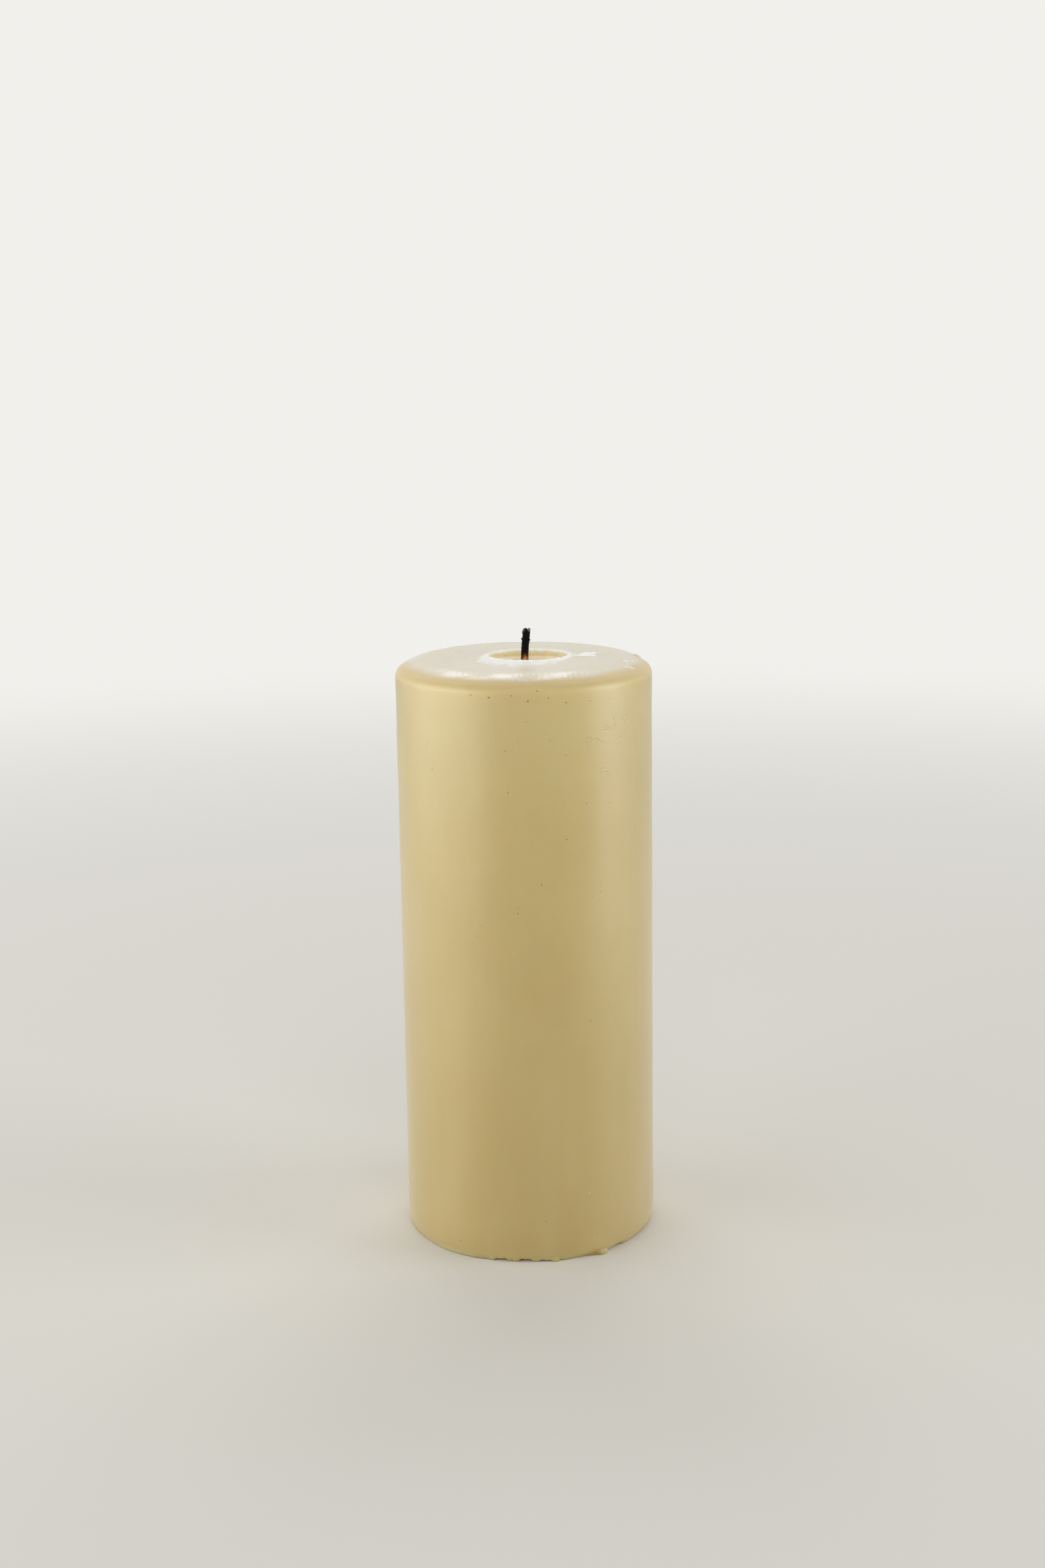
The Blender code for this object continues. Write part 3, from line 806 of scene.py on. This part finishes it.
# Specks on the front of the wall: angle, height and about half their length in millimetres.
front_specks = (
    (5.7, 135.0, 0.16), (-5.3, 134.1, 0.15), (1.7, 132.8, 0.19), (-15.0, 133.6, 0.2), (-23.1, 134.0, 0.15),
    (10.5, 133.4, 0.17), (18.2, 132.1, 0.22), (29.7, 132.1, 0.15), (39.2, 132.1, 0.14), (0.8, 128.2, 0.12),
    (-8.2, 121.6, 0.12), (17.8, 120.3, 0.14), (10.9, 123.8, 0.11), (-44.5, 116.1, 0.14), (-7.3, 112.1, 0.13),
    (27.3, 108.8, 0.14), (39.6, 108.1, 0.12), (18.0, 101.0, 0.14), (56.4, 100.5, 0.14), (21.0, 97.5, 0.12),
    (6.6, 90.8, 0.14), (34.1, 87.9, 0.13), (30.2, 86.8, 0.12), (-3.8, 85.5, 0.16), (-3.9, 84.3, 0.14),
    (-20.8, 81.1, 0.13), (-22.5, 78.6, 0.12), (28.2, 57.6, 0.13), (6.8, 10.2, 0.17), (-33.8, 3.7, 0.18))
# Specks on the top: x, y and the same.
top_specks = ((17.7, -6.2, 0.12), (20.6, -14.4, 0.14), (12.9, -18.6, 0.1), (-2.2, -25.6, 0.12),
              (10.3, 14.2, 0.12), (-14.8, 7.1, 0.13), (-5.2, 19.3, 0.1))

speck_seats = [on_wall(angle, height) for angle, height, size in front_specks]
speck_seats += [on_top(x, y) for x, y, size in top_specks]
speck_sizes = [1.1 * size for *spot, size in front_specks + top_specks]
speck_rng = np.random.default_rng(71)
specks_behind = 34
for number in range(specks_behind):
    speck_seats.append(on_wall(speck_rng.uniform(70, 290), 138 * speck_rng.uniform(0.03, 0.97) ** 0.7))
    speck_sizes.append(speck_rng.uniform(0.07, 0.13))
# Soot and dust under a skin of wax: dull brown black, with the wax's own colour at thin places.
soot = cloudy_finish("soot_in_paraffin", 0.25 * MM, 2.0, ("#6E5C38", "#B09C6C"), (0.4, 0.75))
specks = grow(grain_tree, grain_points("soot_specks", speck_seats, speck_sizes), soot,
              {"Thickness": 0.22, "Lumpiness": 1.1, "Seed": 11})
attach(specks, "root")


# Wick: eight cotton strands braided round a core, cast into the wax. The flame has charred it above the
# wax, spread its tip into a ragged crown and left grey ash on the rim of the crown.

wick_low, wick_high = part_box("wick")
crown_length = 1.4 * MM
crown_start = wick_high.z - crown_length
braid = {"Strands": 8, "Strand radius": 0.27 * MM, "Braid radius": 0.56 * MM, "Weave depth": 0.12 * MM,
         "Pitch": 3.2 * MM, "Lean": 0.45 * MM, "Flare": 0.2, "Rim fall": 0.45 * MM, "Swelling": 0.4,
         "Core radius": 0.6 * MM, "Core fall": 0.3 * MM, "Char": 0.12 * MM}

# Braided strands and a core along an upright line, which leans and opens into a crown at its top.
kinds = {name: 'Int' if name == "Strands" else 'Float' for name in braid}
wick_tree, add, given = start_tree("braided_wick", kinds)
path = add('GeometryNodeMeshToCurve', {"Mesh": given["Geometry"]})
copies = add('GeometryNodeDuplicateElements', {"Geometry": path, "Amount": given["Strands"]},
             domain='SPLINE').node.outputs
height = add('ShaderNodeSeparateXYZ', {"Vector": add('GeometryNodeInputPosition')}, out="Z")
crown = add('ShaderNodeMapRange', {"Value": height, "From Min": crown_start, "From Max": wick_high.z},
            interpolation_type='SMOOTHSTEP')
rise = add('ShaderNodeMapRange', {"Value": height, "From Min": pool_height, "From Max": crown_start})
# The sums that move each strand, and then the core: a result, what is done, and numbers or amounts.
sums = (("lean", 'POWER', "rise", 2.0), ("lean", 'MULTIPLY', "lean", "Lean"),
        # Every other strand winds the other way, over and under in turn, and spreads at the crown.
        ("way", 'MODULO', "number", 2.0), ("way", 'MULTIPLY_ADD', "way", 2.0, -1.0),
        ("first", 'DIVIDE', "number", "Strands"), ("turn", 'DIVIDE', "height", "Pitch"),
        ("turn", 'MULTIPLY_ADD', "turn", "way", "first"), ("turn", 'MULTIPLY', "turn", 2 * math.pi),
        ("over", 'MULTIPLY', "turn", 4.0), ("over", 'SINE', "over"), ("over", 'MULTIPLY', "over", "way"),
        ("reach", 'MULTIPLY_ADD', "over", "Weave depth", "Braid radius"),
        ("flare", 'MULTIPLY_ADD', "crown", "Flare", 1.0), ("reach", 'MULTIPLY', "reach", "flare"),
        ("side", 'SINE', "turn"), ("across", 'MULTIPLY_ADD', "side", "reach", "lean"),
        ("front", 'COSINE', "turn"), ("away", 'MULTIPLY', "front", "reach"),
        ("away", 'MULTIPLY', "away", -1.0),
        # The rim of the crown is lowest at the front left and highest at the back right.
        ("fall", 'ADD', "turn", math.radians(30)), ("fall", 'COSINE', "fall"),
        ("fall", 'MULTIPLY_ADD', "fall", -0.5, -0.5), ("fall", 'MULTIPLY', "fall", "crown"),
        ("fall", 'MULTIPLY', "fall", "Rim fall"), ("swollen", 'MULTIPLY_ADD', "crown", "Swelling", 1.0),
        ("sunk", 'MULTIPLY', "crown", "Core fall"), ("sunk", 'MULTIPLY', "sunk", -1.0))
amounts = {name: given[name] for name in braid}
amounts.update(number=copies["Duplicate Index"], height=height, crown=crown, rise=rise)
for result, operation, *parts in sums:
    parts = {number: amounts.get(part, part) for number, part in enumerate(parts)}
    amounts[result] = add('ShaderNodeMath', parts, operation=operation)
moved = add('ShaderNodeCombineXYZ', {"X": amounts["across"], "Y": amounts["away"], "Z": amounts["fall"]})
strands = add('GeometryNodeSetPosition', {"Geometry": copies["Geometry"], "Offset": moved})
ends = add('GeometryNodeSplineParameter')
ends = add('ShaderNodeMapRange', {"Value": ends, "From Min": 0.985, "To Min": 1.0, "To Max": 0.75},
           interpolation_type='SMOOTHSTEP')
ends = add('ShaderNodeMath', {0: ends, 1: amounts["swollen"]}, operation='MULTIPLY')
ring = add('GeometryNodeCurvePrimitiveCircle', {"Resolution": 8, "Radius": given["Strand radius"]})
strands = add('GeometryNodeCurveToMesh',
              {"Curve": strands, "Profile Curve": ring, "Scale": ends, "Fill Caps": True})
moved = add('ShaderNodeCombineXYZ', {"X": amounts["lean"], "Z": amounts["sunk"]})
core = add('GeometryNodeSetPosition', {"Geometry": path, "Offset": moved})
ring = add('GeometryNodeCurvePrimitiveCircle', {"Resolution": 12, "Radius": given["Core radius"]})
core = add('GeometryNodeCurveToMesh',
           {"Curve": core, "Profile Curve": ring, "Scale": 1.0, "Fill Caps": True})
whole = add('GeometryNodeJoinGeometry', {"Geometry": strands})
feed(whole.node, {"Geometry": core})
# Flakes of char roughen both, more the higher up they are.
burnt_from, burnt_to = pool_height + 0.5 * MM, pool_height + 3 * MM
burnt = add('ShaderNodeMapRange',
            {"Value": height, "From Min": burnt_from, "From Max": burnt_to, "To Min": 0.15})
burnt = add('ShaderNodeMath', {0: burnt, 1: given["Char"]}, operation='MULTIPLY')
end_tree(add, roughen(add, whole, 0.35 * MM, 2.0, burnt), given)

# Cotton soaked in wax at the foot, scorched brown, then charred black, with grey ash on the tip. The
# colours up the wick: height above the pool in millimetres, and the colour reached there.
wick_colours = ((0.9, "#DDBE8E"), (1.4, "#BE8A56"), (2.0, "#74401E"), (2.6, "#26140C"), (3.6, "#0B0808"),
                (8.0, "#0C0B0B"), (8.5, "#8A898C"))
charred_cotton, add, shader, place = new_material("charred_braided_cotton")
x = add('ShaderNodeSeparateXYZ', {"Vector": place})
height = add('ShaderNodeSeparateXYZ', {"Vector": place}, out="Z")
uneven = add('ShaderNodeTexNoise', {"Vector": place, "Scale": 1 / (0.45 * MM), "Detail": 3.0})
uneven = add('ShaderNodeMapRange', {"Value": uneven, "To Min": -0.5 * MM, "To Max": 0.5 * MM})
height = add('ShaderNodeMath', {0: height, 1: uneven}, operation='ADD')
# The colours come sooner away from the wick's middle line in x. This paints shade on its left and right edges
# at the foot, and puts the ash on the sides of the crown's rim.
upright, leaned = wick_place.x, wick_place.x + braid["Lean"]
middle = add('ShaderNodeMapRange', {"Value": height, "From Min": pool_height, "From Max": crown_start,
                                    "To Min": upright, "To Max": leaned})
off = add('ShaderNodeMath', {0: x, 1: middle}, operation='SUBTRACT')
off = add('ShaderNodeMath', {0: off}, operation='ABSOLUTE')
height = add('ShaderNodeMath', {0: off, 1: height}, operation='ADD')
colour, before = linear("#E6CFA2"), 0.0
for above, paint in wick_colours:
    start, end = pool_height + before * MM, pool_height + above * MM
    share = add('ShaderNodeMapRange', {"Value": height, "From Min": start, "From Max": end})
    colour = add('ShaderNodeMix', {"Factor": share, "A": colour, "B": linear(paint)}, data_type='RGBA')
    before = above
rough = add('ShaderNodeMapRange', {"Value": height, "From Min": pool_height, "From Max": burnt_to,
                                   "To Min": 0.4, "To Max": 0.85})
threads = add('ShaderNodeTexNoise', {"Vector": place, "Scale": 1 / (0.1 * MM), "Detail": 3.0})
bump = add('ShaderNodeBump', {"Strength": 0.7, "Distance": 0.04 * MM, "Height": threads})
feed(shader, {"Base Color": colour, "Roughness": rough, "Normal": bump, "Specular IOR Level": 0.15})

# Points lie closer together towards the top of the line.
wick_steps = 460
drops = [(wick_high.z - wick_low.z) * (1 - step / wick_steps) ** 2 for step in range(wick_steps + 1)]
wick_line = bpy.data.meshes.new("braided_wick")
wick_line.from_pydata([(wick_place.x, wick_place.y, wick_high.z - drop) for drop in drops],
                      [(step, step + 1) for step in range(wick_steps)], [])
wick = grow(wick_tree, wick_line, charred_cotton, braid)
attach(wick, "root")
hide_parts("wick")


# Char nubs: ends of burnt thread that stick out of the sides of the wick, each a grain of char as wide as
# a strand or less. They are listed by x, y, height and size, in millimetres.

nubs = ((-0.3, 0.0, 142.4, 0.17), (1.5, -0.1, 142.2, 0.16), (1.45, 0.1, 141.7, 0.12),
        (-0.6, -0.2, 137.9, 0.15), (1.0, -0.5, 139.6, 0.1), (-0.25, -0.6, 140.6, 0.1),
        (1.2, 0.7, 140.9, 0.12), (0.5, 0.95, 142.6, 0.12), (0.1, 0.85, 139.2, 0.1))
nub_seats = []
for x, y, height, size in nubs:
    place = Vector((x, y, height)) * MM
    nub_seats.append((place, (place - Vector((wick_place.x, wick_place.y, place.z))).normalized()))
char = grow(grain_tree, grain_points("char_nubs", nub_seats, [size for *place, size in nubs]),
            charred_cotton, {"Thickness": 1.0, "Lumpiness": 1.4, "Seed": 13})
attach(char, "root")
